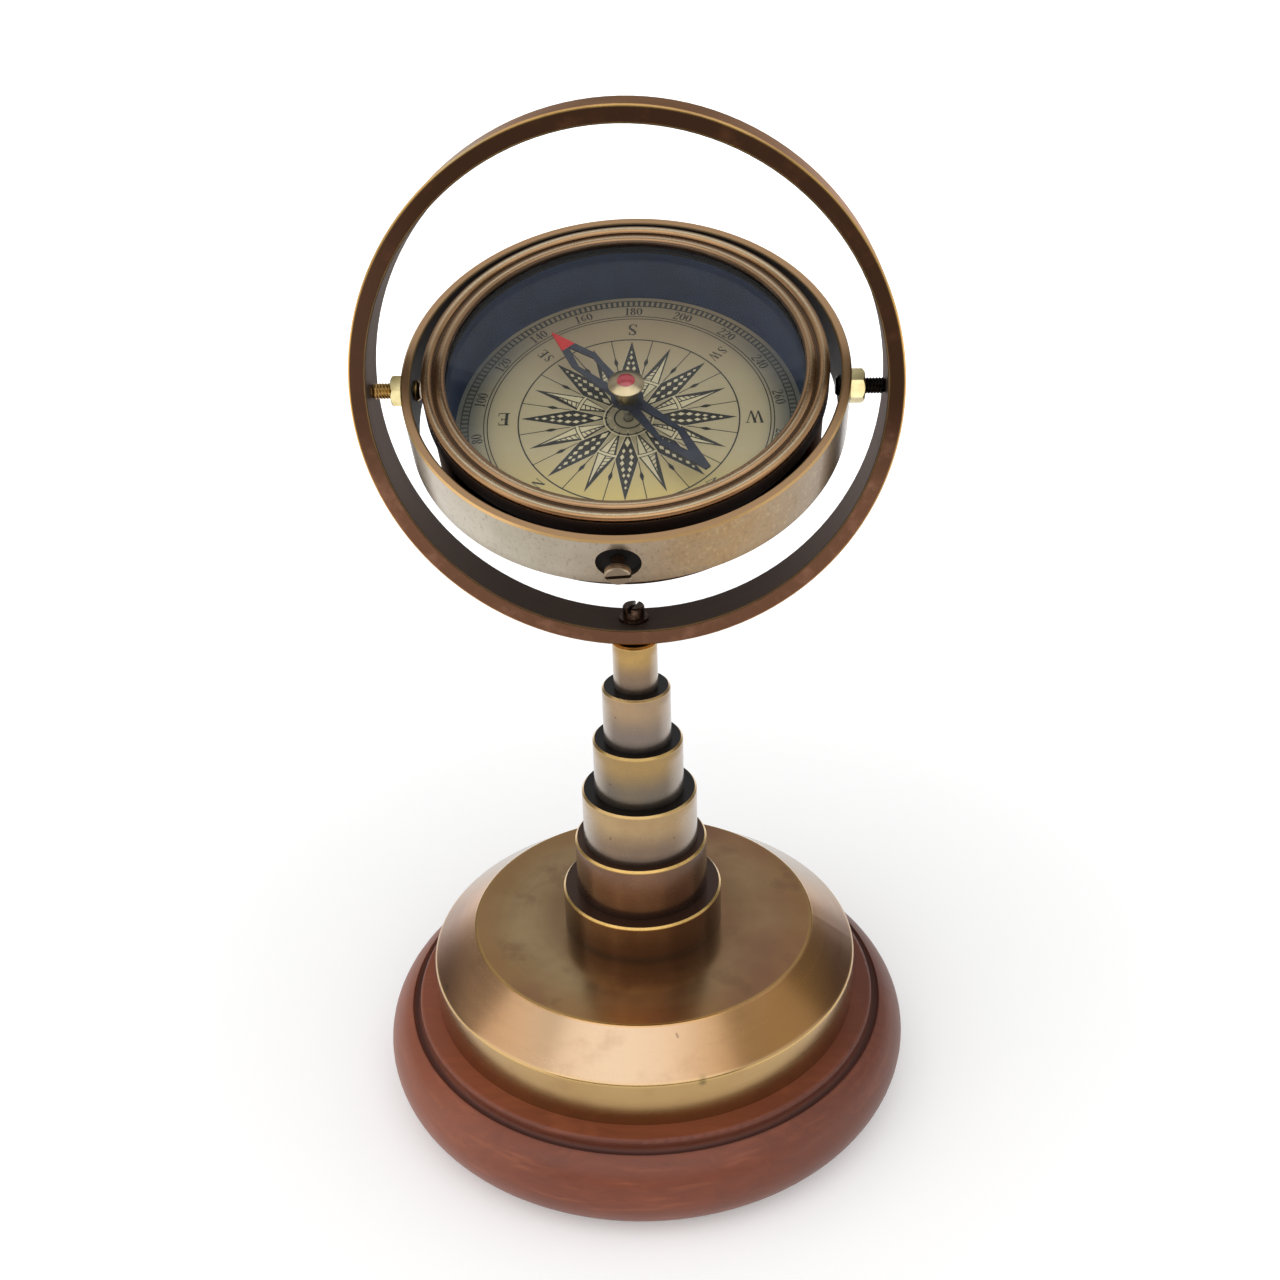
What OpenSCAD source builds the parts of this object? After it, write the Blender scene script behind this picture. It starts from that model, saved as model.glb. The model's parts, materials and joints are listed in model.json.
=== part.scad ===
// Desk gimbal compass: a liquid-free dry-card compass bowl hung in two rings on a stepped brass stem.
// Millimetres, +Z up. The origin is the middle of the felt pad's underside, and -Y is the viewer's side.
// The outer ring stands in the XZ plane. The gimbal ring turns in it about X, and the bowl turns in the
// gimbal ring about the ring's own front-to-back line.

/* [Compass bowl] */
// Radius of the dial plate
dial_r = 33.5; // [24:0.1:40]
// Thickness of the dial plate
dial_t = 0.8; // [0.5:0.1:1.5]
// Wall of the dark liner that stands on the dial and carries the glass
liner_wall = 1.0; // [0.6:0.1:1.6]
// Height of the liner
liner_h = 11.5; // [8:0.1:16]
// Depth of the dial's face below the pivot axis
dial_drop = 7.8; // [6:0.1:10]
// Thickness of the rubber gasket under the glass
gasket_t = 0.5; // [0.3:0.1:1]
// Thickness of the glass
glass_t = 1.8; // [1:0.1:3]
// Side wall of the bowl
bowl_wall = 2.4; // [1.8:0.1:4]
// Solid floor of the bowl, thick so that the bowl hangs upright
bowl_floor = 6.0; // [3:0.1:9]
// Radius of the rounded lower corner of the bowl
bowl_round = 4.2; // [1:0.1:5]
// Height of the thinned neck that the bezel screws over
neck_h = 1.6; // [1:0.1:3]
// Depth of the neck's step in the bowl wall
neck_step = 0.9; // [0.5:0.1:1.4]

/* [Bezel] */
// How far the bezel stands out past the bowl wall
bezel_over = 0.7; // [0.3:0.1:1.5]
// How far the bezel's lip reaches in over the glass
bezel_lip = 1.2; // [0.6:0.1:2]
// Thickness of the lip at its inner edge
bezel_lip_t = 0.4; // [0.3:0.05:0.8]
// Rise of the two bezel beads above the lip's inner edge
bezel_rise = 0.6; // [0.2:0.05:0.6]
// Width of the turned groove between the two bezel beads
bezel_groove = 0.5; // [0.3:0.05:0.8]

/* [Needle] */
// Distance from the pivot to each tip of the needle
needle_reach = 22.8; // [14:0.1:26]
// Widest part of each hollow arm
needle_w = 5.4; // [4.2:0.1:7]
// Width of the strip round each arm's opening
needle_rim = 1.0; // [0.6:0.05:1.4]
// Width of the needle's blunt tail
needle_tail_w = 1.1; // [0.6:0.1:2]
// Thickness of the needle
needle_t = 0.4; // [0.3:0.05:0.8]
// Height of the needle's underside above the dial's face
needle_lift = 5.1; // [3:0.1:6]
// Direction of the red tip, turned left from the bowl's far side
needle_heading = 41; // [-180:0.5:180]
// Radius of the domed brass cap on the needle
cap_r = 3.35; // [2.6:0.05:4]
// Radius of the cap's collar
collar_r = 2.1; // [1.8:0.05:2.5]
// Height of the collar
collar_h = 3.4; // [2.6:0.1:3.6]
// Height of the dome
cap_dome_h = 1.2; // [1.1:0.1:2.2]
// Radius of the red jewel in the cap
jewel_r = 1.65; // [1.3:0.05:1.8]
// Depth of the jewel's seat below the top of the dome
jewel_sink = 0.85; // [0.6:0.05:1.2]
// How far the jewel stands above the dome
jewel_rise = 0.15; // [0:0.05:0.4]
// Radius of the steel pivot post
post_r = 0.9; // [0.7:0.05:1]

/* [Gimbal ring] */
// Clear gap between the bezel and the gimbal ring
gimbal_gap = 2.05; // [1.8:0.05:4]
// Thickness of the gimbal ring
gimbal_t = 1.8; // [1.2:0.1:3]
// Width of the gimbal ring along its own axis
gimbal_w = 11.3; // [9:0.1:16]
// Lean of the gimbal ring and bowl toward the viewer at rest
gimbal_tilt = 28; // [-40:1:40]
// Radius of the bushed hole for a bowl pivot
bush_r = 3.9; // [3:0.1:4.2]
// How far the bush lies below the ring's outer face
bush_sink = 0.9; // [0.3:0.1:1.2]

/* [Outer ring] */
// Clear gap between the gimbal ring and the outer ring
ring_gap = 6.4; // [6:0.1:14]
// Thickness of the outer ring
ring_t = 3.2; // [2.5:0.1:6]
// Width of the outer ring from front to back
ring_w = 10.4; // [8:0.1:11]
// Broken edge of both rings
ring_edge = 0.35; // [0.1:0.05:0.7]

/* [Screws and nuts] */
// Thread radius of the axle screws and the ring screw
axle_screw_r = 1.5; // [1.2:0.05:1.7]
// Radius of the plain journal at the end of an axle screw
axle_tip_r = 1.2; // [0.8:0.05:1.4]
// How far a journal stands out of the outer ring
axle_tip_out = 0.2; // [0:0.05:0.5]
// Radius of an axle screw's low head
axle_head_r = 1.9; // [1.9:0.05:2.6]
// Thickness of an axle screw's low head
axle_head_t = 0.8; // [0.8:0.05:1.2]
// Width across the flats of an axle nut
axle_nut_af = 5.5; // [5:0.1:7]
// Thickness of an axle nut
axle_nut_t = 2.6; // [1.6:0.1:3]
// Turn of the left axle nut on its screw
left_nut_turn = 44; // [0:1:60]
// Turn of the right axle nut on its screw
right_nut_turn = 26; // [0:1:60]
// Thread radius of a bowl pivot screw
pivot_screw_r = 1.25; // [1:0.05:1.4]
// Radius of a bowl pivot screw's head
pivot_head_r = 2.3; // [2:0.05:2.6]
// Length of a bowl pivot screw's head
pivot_head_h = 2.1; // [1.6:0.1:2.4]
// Space between the gimbal ring and the bowl pivot screw's head
pivot_head_gap = 0.8; // [0.3:0.1:1.2]
// Width across the flats of a bowl pivot's lock nut
pivot_nut_af = 5.0; // [4.4:0.1:5.6]
// Thickness of a bowl pivot's lock nut
pivot_nut_t = 1.9; // [1.2:0.1:2]
// Radius of the ring screw's slotted head
ring_head_r = 2.15; // [2:0.05:2.8]
// Height of the ring screw's slotted head
ring_head_h = 2.4; // [1.8:0.1:2.6]
// Radius of the washer under the ring screw
ring_washer_r = 2.9; // [2.5:0.05:3.4]
// Thickness of the washer under the ring screw
ring_washer_t = 0.6; // [0.4:0.05:0.8]
// Depth of thread that the ring screw takes in the stem
ring_screw_bite = 4.6; // [3:0.1:5]
// Width of the screwdriver slots
slot_w = 0.8; // [0.5:0.05:1]
// Depth of the screwdriver slots
slot_d = 1.0; // [0.6:0.05:1.2]

/* [Stem] */
// Radius of the top tier
tier_1_r = 4.5; // [4.3:0.05:6]
// Radius of the second tier
tier_2_r = 6.95; // [5:0.05:8]
// Radius of the third tier
tier_3_r = 9.3; // [7:0.05:11]
// Radius of the fourth tier
tier_4_r = 12.0; // [10:0.05:14]
// Radius of the fifth tier
tier_5_r = 13.9; // [12:0.05:17]
// Radius of the foot tier
tier_6_r = 16.9; // [15:0.05:24]
// Height of the top tier
neck_tier_h = 11.6; // [11:0.1:16]
// Height of each of the four middle tiers
tier_h = 12.0; // [8:0.1:16]
// Height of the foot tier
foot_tier_h = 8.4; // [5:0.1:14]
// Broken edge at the top of each tier
tier_edge = 0.4; // [0.1:0.05:0.8]
// Radius of the raised seat that carries the outer ring
seat_r = 3.0; // [2.6:0.1:4]
// Height of the raised seat above the top tier's edge
seat_h = 1.2; // [0.6:0.1:2]
// Thread radius of the tie stud
stud_r = 2.5; // [2:0.05:3]
// Depth of thread that the tie stud takes in the top tier
stud_bite = 6.0; // [4:0.1:6.2]

/* [Base] */
// Radius of the wooden base
wood_r = 56.8; // [54:0.1:75]
// Height of the wooden base up to its ledge
wood_h = 19.8; // [16:0.1:26]
// Radius of the half-round side of the base
side_r = 9.4; // [7:0.1:10]
// Radius of the ledge's outer edge, where the turned groove starts
ledge_r = 49.9; // [49:0.1:51]
// Radius that softens the ledge's edge
ledge_soft = 0.8; // [0.4:0.1:1.2]
// Radius of the turned groove between the ledge and the half-round side
groove_r = 0.9; // [0.6:0.05:1.2]
// Radius of the brass cover at its upright rim
dome_r = 45.7; // [42:0.1:49]
// Radius of the brass cover's flat top
flat_r = 36.4; // [26:0.1:40]
// Height of the upright rim
rim_h = 10.0; // [5:0.1:16]
// Height of the slope between rim and flat top
slope_h = 7.1; // [4:0.1:14]
// Thickness of the brass cover
dome_t = 1.2; // [0.8:0.1:2]
// Radius that softens the cover's edges
dome_soft = 0.9; // [0.3:0.1:1.5]
// Radius of the felt pad
felt_r = 46.5; // [40:0.5:50]
// Thickness of the felt pad
felt_t = 1.2; // [0.8:0.1:2]
// How deep the felt pad is let into the wood
felt_inset = 0.6; // [0.2:0.1:0.7]
// Width across the flats of the base nut
base_nut_af = 8.0; // [7:0.1:10]
// Thickness of the base nut
base_nut_t = 4.0; // [3:0.1:5]
// Radius of the base washer
base_washer_r = 7.5; // [6:0.1:9]
// Thickness of the base washer
base_washer_t = 1.0; // [0.6:0.1:2]

/* [Clearances] */
// Running clearance of a journal in its hole, on the radius
run_gap = 0.05; // [0.02:0.01:0.1]
// Clearance of a fixed piece in its seat, on the radius
fit_gap = 0.05; // [0.02:0.01:0.1]
// Clearance of a screw thread in its tapped hole, on the radius
thread_gap = 0.02; // [0.01:0.01:0.05]
// End play between an axle screw's shoulder and the outer ring
end_gap = 0.2; // [0.1:0.05:0.4]
// Clearance between the wooden core and the inside of the brass cover
core_gap = 0.2; // [0.1:0.05:0.5]

/* [Hidden] */
$fn = 96;

// Heights in the stack, from the table up
wood_z = felt_t - felt_inset;
ledge_z = wood_z + wood_h;
rim_z = ledge_z + rim_h;
flat_z = rim_z + slope_h;
tier_6_z = flat_z;
tier_5_z = tier_6_z + foot_tier_h;
tier_4_z = tier_5_z + tier_h;
tier_3_z = tier_4_z + tier_h;
tier_2_z = tier_3_z + tier_h;
tier_1_z = tier_2_z + tier_h;
stem_z = tier_1_z + neck_tier_h;

// Radii from the dial outward
liner_ri = dial_r - liner_wall;
bowl_ri = dial_r + fit_gap;
bowl_r = bowl_ri + bowl_wall;
neck_r = bowl_r - neck_step;
bezel_r = bowl_r + bezel_over;
lip_ri = dial_r - bezel_lip;
gimbal_ri = bezel_r + gimbal_gap;
gimbal_r = gimbal_ri + gimbal_t;
ring_ri = gimbal_r + ring_gap;
ring_r = ring_ri + ring_t;

// The stem's seat is dished by this much where the outer ring beds into it
saddle = ring_r - sqrt(ring_r*ring_r - seat_r*seat_r);
pivot_z = stem_z - saddle + ring_r;

// Heights inside the bowl, along the bowl's own axis from the pivot line
dial_z = -dial_drop;
floor_z = dial_z - dial_t;
bowl_low_z = floor_z - bowl_floor;
liner_top_z = dial_z + liner_h;
glass_z = liner_top_z + gasket_t;
glass_top_z = glass_z + glass_t;
lip_z = glass_top_z + fit_gap;
bezel_top_z = lip_z + bezel_lip_t + bezel_rise;
neck_top_z = glass_z - fit_gap;
neck_z = neck_top_z - neck_h;

// Heights of the needle parts, on the same axis
needle_z = dial_z + needle_lift;
collar_z = needle_z + needle_t;
dome_cap_z = collar_z + collar_h;
cap_top_z = dome_cap_z + cap_dome_h;
jewel_z = cap_top_z - jewel_sink;
spigot_r = collar_r - 0.7;
hub_r = collar_r + 0.9;
cap_bore_r = post_r + 0.2;
post_low_z = floor_z - bowl_floor*0.6;

// Screws: a shank runs into its head by head_root
head_root = 0.4;
pivot_head_in = gimbal_r + pivot_head_gap;
pivot_head_out = pivot_head_in + pivot_head_h;
axle_head_seat = sqrt(gimbal_ri*gimbal_ri - axle_head_r*axle_head_r);
ring_washer_z = pivot_z - sqrt(ring_ri*ring_ri - ring_washer_r*ring_washer_r);

// Carries what it holds from the bowl's own axes to its place in the outer ring
module at_pivot() {
    translate([0, 0, pivot_z]) rotate([gimbal_tilt, 0, 0]) children();
}

// Turns a shape built along +Z so that it points along +X
module along_x() {
    rotate([0, 90, 0]) children();
}

// Turns a shape built along +Z so that it points to the viewer
module along_front() {
    rotate([90, 0, 0]) children();
}

// Points of an arc about [x, y] from angle a to angle b
function arc(x, y, r, a, b, n) = [for (i = [0:n]) let (t = a + (b - a)*i/n) [x + r*cos(t), y + r*sin(t)]];

// A band of rectangular section with broken edges, its axis along Z and its middle at the origin
module band(ri, ro, w, edge) {
    h = w/2;
    rotate_extrude() polygon([
        [ri + edge, -h], [ro - edge, -h], [ro, edge - h], [ro, h - edge],
        [ro - edge, h], [ri + edge, h], [ri, h - edge], [ri, edge - h]]);
}

// A hexagon nut with its chamfered face on top
module hex_nut(af, t, bore) {
    corner = af/2/cos(30);
    difference() {
        intersection() {
            cylinder(r = corner, h = t, $fn = 6);
            cylinder(r1 = corner + t*0.9, r2 = af/2*0.97, h = t);
        }
        translate([0, 0, -1]) cylinder(r = bore, h = t + 2);
    }
}

// A slotted screw head standing on the origin, coned out from its foot
module slotted_head(r, h, foot) {
    soft = 0.25;
    cone_h = (r - foot)*1.2;
    difference() {
        rotate_extrude() polygon(concat([[0, 0], [foot, 0]], foot < r ? [[r, cone_h]] : [],
            [[r, h - soft], [r - soft, h], [0, h]]));
        translate([-r - 1, -slot_w/2, h - slot_d]) cube([2*r + 2, slot_w, slot_d + 1]);
    }
}

// Base

module felt_pad() {
    color("DarkGreen") cylinder(r = felt_r, h = felt_t);
}

// The turned profile of the wooden base: half-round side, groove, ledge, and the core inside the cover
module wood_profile() {
    side_x = wood_r - side_r;
    side_z = wood_z + side_r;
    groove_x = ledge_r + groove_r;
    groove_z = side_z + sqrt(side_r*side_r - (groove_x - side_x)*(groove_x - side_x));
    core_r = dome_r - dome_t - core_gap;
    core_flat_r = flat_r - dome_t - core_gap;
    difference() {
        union() {
            translate([side_x, side_z]) circle(r = side_r);
            translate([0, wood_z]) square([side_x, 2*side_r]);
            translate([0, side_z]) square([ledge_r, ledge_z - ledge_soft - side_z]);
            translate([0, side_z]) square([ledge_r - ledge_soft, ledge_z - side_z]);
            translate([ledge_r - ledge_soft, ledge_z - ledge_soft]) circle(r = ledge_soft);
            polygon([[0, side_z], [core_r, side_z], [core_r, rim_z - dome_t],
                [core_flat_r, flat_z - dome_t], [0, flat_z - dome_t]]);
        }
        translate([groove_x, groove_z]) circle(r = groove_r);
    }
}

module wood_base() {
    color("SaddleBrown") difference() {
        rotate_extrude() wood_profile();
        translate([0, 0, wood_z - 1]) cylinder(r = felt_r + fit_gap, h = felt_inset + 1);
        translate([0, 0, wood_z - 1]) cylinder(r = base_washer_r + 0.5, h = 1 + felt_inset + nut_pocket());
        translate([0, 0, wood_z]) cylinder(r = stud_r + 0.25, h = flat_z);
    }
}

// Depth of the pocket that hides the nut and washer above the felt
function nut_pocket() = base_washer_t + base_nut_t + 3;
pocket_z = wood_z + felt_inset + nut_pocket();

module base_washer() {
    color("Silver") translate([0, 0, pocket_z - base_washer_t]) difference() {
        cylinder(r = base_washer_r, h = base_washer_t);
        translate([0, 0, -1]) cylinder(r = stud_r + 0.2, h = base_washer_t + 2);
    }
}

module base_nut() {
    color("Silver") translate([0, 0, pocket_z - base_washer_t]) rotate([180, 0, 0])
        hex_nut(base_nut_af, base_nut_t, stud_r + thread_gap);
}

module tie_stud() {
    low = pocket_z - base_washer_t - base_nut_t - 1.2;
    color("Silver") translate([0, 0, low]) cylinder(r = stud_r, h = tier_1_z + stud_bite - low);
}

// Spun brass cover: upright rim, slope and flat top, with softened edges
module base_cover() {
    fall = atan2(slope_h, dome_r - flat_r);
    ang = 90 - fall;
    top_back = dome_soft*tan(fall/2);
    side_back = dome_soft*tan(ang/2);
    in_r = dome_r - dome_t;
    in_flat = flat_r - dome_t*tan(fall/2);
    color("DarkKhaki") difference() {
        rotate_extrude() polygon(concat(
            [[in_r, ledge_z], [dome_r, ledge_z]],
            arc(dome_r - dome_soft, rim_z - side_back, dome_soft, 0, ang, 8),
            arc(flat_r - top_back, flat_z - dome_soft, dome_soft, ang, 90, 8),
            [[0, flat_z], [0, flat_z - dome_t], [in_flat, flat_z - dome_t],
                [in_r, rim_z - dome_t*tan(ang/2)]]));
        translate([0, 0, flat_z - dome_t - 1]) cylinder(r = stud_r + 0.2, h = dome_t + 2);
    }
}

// Stem

// One turned tier with a broken top edge and a hole for the stud
module tier(r, z, h) {
    color("DarkGoldenrod") translate([0, 0, z]) difference() {
        rotate_extrude() polygon([[0, 0], [r, 0], [r, h - tier_edge], [r - tier_edge, h], [0, h]]);
        translate([0, 0, -1]) cylinder(r = stud_r + 0.1, h = h + 2);
    }
}

// The top tier is tapped from both ends, and its raised seat is dished for the outer ring
module stem_tier_1() {
    wall_h = neck_tier_h - seat_h;
    color("DarkGoldenrod") difference() {
        translate([0, 0, tier_1_z]) rotate_extrude() polygon([
            [0, 0], [tier_1_r, 0], [tier_1_r, wall_h - tier_edge], [tier_1_r - tier_edge, wall_h],
            [seat_r, wall_h], [seat_r, neck_tier_h], [0, neck_tier_h]]);
        translate([0, 0, tier_1_z - 1]) cylinder(r = stud_r + thread_gap, h = stud_bite + 1);
        translate([0, 0, stem_z - saddle - ring_screw_bite - 0.4])
            cylinder(r = axle_screw_r + thread_gap, h = ring_screw_bite + 2);
        translate([0, 0, pivot_z]) rotate([90, 0, 0]) cylinder(r = ring_r, h = 40, center = true);
    }
}
module stem_tier_2() { tier(tier_2_r, tier_2_z, tier_h); }
module stem_tier_3() { tier(tier_3_r, tier_3_z, tier_h); }
module stem_tier_4() { tier(tier_4_r, tier_4_z, tier_h); }
module stem_tier_5() { tier(tier_5_r, tier_5_z, tier_h); }
module stem_tier_6() { tier(tier_6_r, tier_6_z, foot_tier_h); }

// Outer ring and its fixing

module outer_ring() {
    color("Peru") difference() {
        translate([0, 0, pivot_z]) rotate([90, 0, 0]) band(ring_ri, ring_r, ring_w, ring_edge);
        translate([0, 0, pivot_z]) along_x()
            cylinder(r = axle_tip_r + run_gap, h = 2*ring_r + 4, center = true);
        translate([0, 0, pivot_z - ring_r - 2]) cylinder(r = axle_screw_r + 0.1, h = ring_t + 4);
    }
}

module ring_washer() {
    color("DimGray") translate([0, 0, ring_washer_z]) difference() {
        cylinder(r = ring_washer_r, h = ring_washer_t);
        translate([0, 0, -1]) cylinder(r = axle_screw_r + 0.1, h = ring_washer_t + 2);
    }
}

module ring_screw() {
    low = stem_z - saddle - ring_screw_bite;
    seat = ring_washer_z + ring_washer_t;
    color("DimGray") union() {
        translate([0, 0, low]) cylinder(r = axle_screw_r, h = seat + head_root - low);
        translate([0, 0, seat]) rotate([0, 0, 70]) slotted_head(ring_head_r, ring_head_h, ring_head_r);
    }
}

// Gimbal ring and its axles

module gimbal_ring() {
    color("Tan") at_pivot() difference() {
        band(gimbal_ri, gimbal_r, gimbal_w, ring_edge);
        along_x() cylinder(r = axle_screw_r + fit_gap, h = 2*gimbal_r + 4, center = true);
        along_front() cylinder(r = bush_r + thread_gap, h = 2*gimbal_r + 4, center = true);
    }
}

// Low head inside the gimbal ring, thread across the gap, plain journal in the outer ring
module axle_screw() {
    shoulder = ring_ri - end_gap;
    tip = ring_r + axle_tip_out;
    along_x() union() {
        translate([0, 0, axle_head_seat - axle_head_t]) rotate_extrude() polygon([
            [0, 0], [axle_head_r - 0.5, 0], [axle_head_r, 0.5],
            [axle_head_r, axle_head_t], [0, axle_head_t]]);
        translate([0, 0, axle_head_seat - head_root])
            cylinder(r = axle_screw_r, h = shoulder - axle_head_seat + head_root);
        translate([0, 0, shoulder - head_root]) cylinder(r = axle_tip_r, h = tip - shoulder + head_root);
    }
}
module axle_screw_left() { color("Goldenrod") at_pivot() mirror([1, 0, 0]) axle_screw(); }
module axle_screw_right() { color("DimGray") at_pivot() axle_screw(); }

module axle_nut(turn) {
    translate([gimbal_r + thread_gap, 0, 0]) along_x() rotate([0, 0, turn])
        hex_nut(axle_nut_af, axle_nut_t, axle_screw_r + thread_gap);
}
module axle_nut_left() { color("Khaki") at_pivot() mirror([1, 0, 0]) axle_nut(left_nut_turn); }
module axle_nut_right() { color("Khaki") at_pivot() axle_nut(right_nut_turn); }

// Dark bush that fills the wide hole of a bowl pivot
module pivot_bush() {
    along_front() translate([0, 0, gimbal_ri]) difference() {
        cylinder(r = bush_r, h = gimbal_t - bush_sink);
        translate([0, 0, -1]) cylinder(r = pivot_screw_r + run_gap, h = gimbal_t + 2);
    }
}
module pivot_bush_front() { color("Black") at_pivot() pivot_bush(); }
module pivot_bush_back() { color("Black") at_pivot() mirror([0, 1, 0]) pivot_bush(); }

// Bowl and what it holds

module bowl() {
    soft = min(bowl_round, bowl_floor - 0.5);
    color("Sienna") at_pivot() difference() {
        rotate_extrude() difference() {
            union() {
                translate([bowl_r - soft, bowl_low_z + soft]) circle(r = soft);
                translate([0, bowl_low_z]) square([bowl_r - soft, soft]);
                translate([0, bowl_low_z + soft]) square([bowl_r, neck_z - bowl_low_z - soft]);
                translate([0, neck_z - 1]) square([neck_r, neck_h + 1]);
            }
            translate([-1, floor_z]) square([bowl_ri + 1, neck_top_z - floor_z + 1]);
        }
        translate([0, 0, post_low_z]) cylinder(r = post_r + thread_gap, h = bowl_floor + 2);
        along_front() cylinder(r = pivot_screw_r + thread_gap, h = 2*bowl_r + 4, center = true);
    }
}

// Half an oval, from its right end over the top to its left end
function bead(x, z, half, rise, n) = [for (i = [0:n]) let (t = 180*i/n) [x + half*cos(t), z + rise*sin(t)]];

// Two turned beads with a groove between them, a lip over the glass and a skirt over the neck
module bezel() {
    mid = (lip_ri + bezel_r)/2;
    half = (bezel_r - mid - bezel_groove/2)/2;
    foot = bezel_top_z - bezel_rise;
    low = neck_z + fit_gap;
    pocket_r = dial_r + fit_gap*2;
    color("RosyBrown") at_pivot() rotate_extrude() polygon(concat(
        [[neck_r + fit_gap, low], [bezel_r, low]],
        bead(bezel_r - half, foot, half, bezel_rise, 8),
        bead(lip_ri + half, foot, half, bezel_rise*0.8, 8),
        [[lip_ri, lip_z], [pocket_r, lip_z],
            [pocket_r, glass_z + fit_gap], [neck_r + fit_gap, glass_z + fit_gap]]));
}

module glass() {
    color("LightCyan", 0.35) at_pivot() translate([0, 0, glass_z]) cylinder(r = dial_r, h = glass_t);
}

// A flat ring on the bowl's axis
module flat_ring(ri, ro, z, h) {
    at_pivot() translate([0, 0, z]) difference() {
        cylinder(r = ro, h = h);
        translate([0, 0, -1]) cylinder(r = ri, h = h + 2);
    }
}

module glass_gasket() { color("Black") flat_ring(liner_ri, dial_r, liner_top_z, gasket_t); }
module bowl_liner() { color("MidnightBlue") flat_ring(liner_ri, dial_r, dial_z, liner_h); }
module dial_plate() { color("PaleGoldenrod") flat_ring(post_r + 0.1, dial_r, floor_z, dial_t); }

// Star with n points: tips at radius a, notches at radius b
module star(n, a, b) {
    polygon([for (i = [0:2*n - 1]) let (r = i % 2 == 0 ? a : b, t = 180*i/n) [r*sin(t), r*cos(t)]]);
}

// Thin circle line
module line_circle(r, w) {
    difference() {
        circle(r = r + w/2);
        circle(r = r - w/2);
    }
}

// Rose circle, border circles, degree marks and the star, as one thin print layer
module compass_rose() {
    face_r = liner_ri;
    rose_r = face_r*0.645;
    print_t = 0.08;
    color("Black") at_pivot() translate([0, 0, dial_z]) linear_extrude(height = print_t) difference() {
        union() {
            line_circle(rose_r, 0.22);
            line_circle(face_r*0.828, 0.2);
            line_circle(face_r*0.845, 0.2);
            line_circle(face_r*0.936, 0.2);
            for (i = [0:71]) rotate(5*i)
                translate([-0.08, face_r*0.936]) square([0.16, face_r*(i % 2 == 0 ? 0.05 : 0.03)]);
            difference() {
                union() {
                    star(16, rose_r*0.92, rose_r*0.36);
                    star(8, rose_r*0.98, rose_r*0.3);
                }
                star(8, rose_r*0.7, rose_r*0.18);
            }
        }
        circle(r = post_r + 0.3);
    }
}

// Steel post screwed into the bowl's floor, ground to a point under the jewel
module pivot_post() {
    tip_z = jewel_z - fit_gap;
    cone_h = 3.2;
    color("LightSteelBlue") at_pivot() rotate_extrude() polygon([
        [0, post_low_z + 0.2], [post_r, post_low_z + 0.2], [post_r, tip_z - cone_h],
        [0.12, tip_z], [0, tip_z]]);
}

// Slotted screw from the bowl's wall out through the bush
module pivot_screw() {
    inner = bowl_ri + 0.2;
    along_front() union() {
        translate([0, 0, inner]) cylinder(r = pivot_screw_r, h = pivot_head_in + head_root - inner);
        translate([0, 0, pivot_head_in]) rotate([0, 0, 6])
            slotted_head(pivot_head_r, pivot_head_h, pivot_screw_r + 0.3);
    }
}
module pivot_screw_front() { color("Tan") at_pivot() pivot_screw(); }
module pivot_screw_back() { color("Tan") at_pivot() mirror([0, 1, 0]) pivot_screw(); }

module pivot_nut() {
    along_front() translate([0, 0, bowl_r + thread_gap])
        hex_nut(pivot_nut_af, pivot_nut_t, pivot_screw_r + thread_gap);
}
module pivot_nut_front() { color("Tan") at_pivot() pivot_nut(); }
module pivot_nut_back() { color("Tan") at_pivot() mirror([0, 1, 0]) pivot_nut(); }

// Needle

// One hollow arm along +Y: it widens to its shoulders, then tapers to a tip of half-width tip_half
module needle_arm(tip_half) {
    half = needle_w/2;
    shoulder = needle_reach*0.58;
    root = hub_r*0.6;
    linear_extrude(height = needle_t) difference() {
        polygon([[-root, root], [-half, shoulder], [-tip_half, needle_reach],
            [tip_half, needle_reach], [half, shoulder], [root, root]]);
        polygon([[0, hub_r + 0.3], [half - needle_rim, shoulder - needle_rim],
            [0, needle_reach*0.77], [needle_rim - half, shoulder - needle_rim]]);
    }
}

module needle() {
    color("MidnightBlue") at_pivot() translate([0, 0, needle_z]) rotate([0, 0, needle_heading]) difference() {
        union() {
            cylinder(r = hub_r, h = needle_t);
            needle_arm(0.12);
            rotate([0, 0, 180]) needle_arm(needle_tail_w/2);
        }
        translate([0, 0, -1]) cylinder(r = spigot_r + thread_gap, h = needle_t + 2);
    }
}

// Half of a shallow dome of base radius r and height h, standing on the line y = 0
module dome_half(r, h) {
    round_r = (r*r + h*h)/(2*h);
    intersection() {
        translate([0, h - round_r]) circle(r = round_r);
        square([r, h]);
    }
}

// Domed cap on a collar, its spigot riveted through the needle, bored from below for the post
module needle_cap() {
    lip = 0.3;
    rivet = 0.3;
    color("Gold") at_pivot() difference() {
        rotate_extrude() union() {
            translate([0, needle_z - rivet]) square([spigot_r, dome_cap_z - needle_z + rivet]);
            translate([0, collar_z]) square([collar_r, collar_h + lip]);
            translate([0, dome_cap_z]) square([cap_r, lip]);
            translate([0, dome_cap_z + lip]) dome_half(cap_r, cap_dome_h - lip);
        }
        translate([0, 0, needle_z - 1]) cylinder(r = cap_bore_r, h = jewel_z - needle_z + 1);
        translate([0, 0, jewel_z]) cylinder(r = jewel_r + thread_gap, h = jewel_sink + 1);
    }
}

module cap_jewel() {
    lip = jewel_sink - 0.25;
    color("Crimson") at_pivot() translate([0, 0, jewel_z]) rotate_extrude() union() {
        square([jewel_r, lip]);
        translate([0, lip]) dome_half(jewel_r, jewel_rise + 0.25);
    }
}

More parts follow.
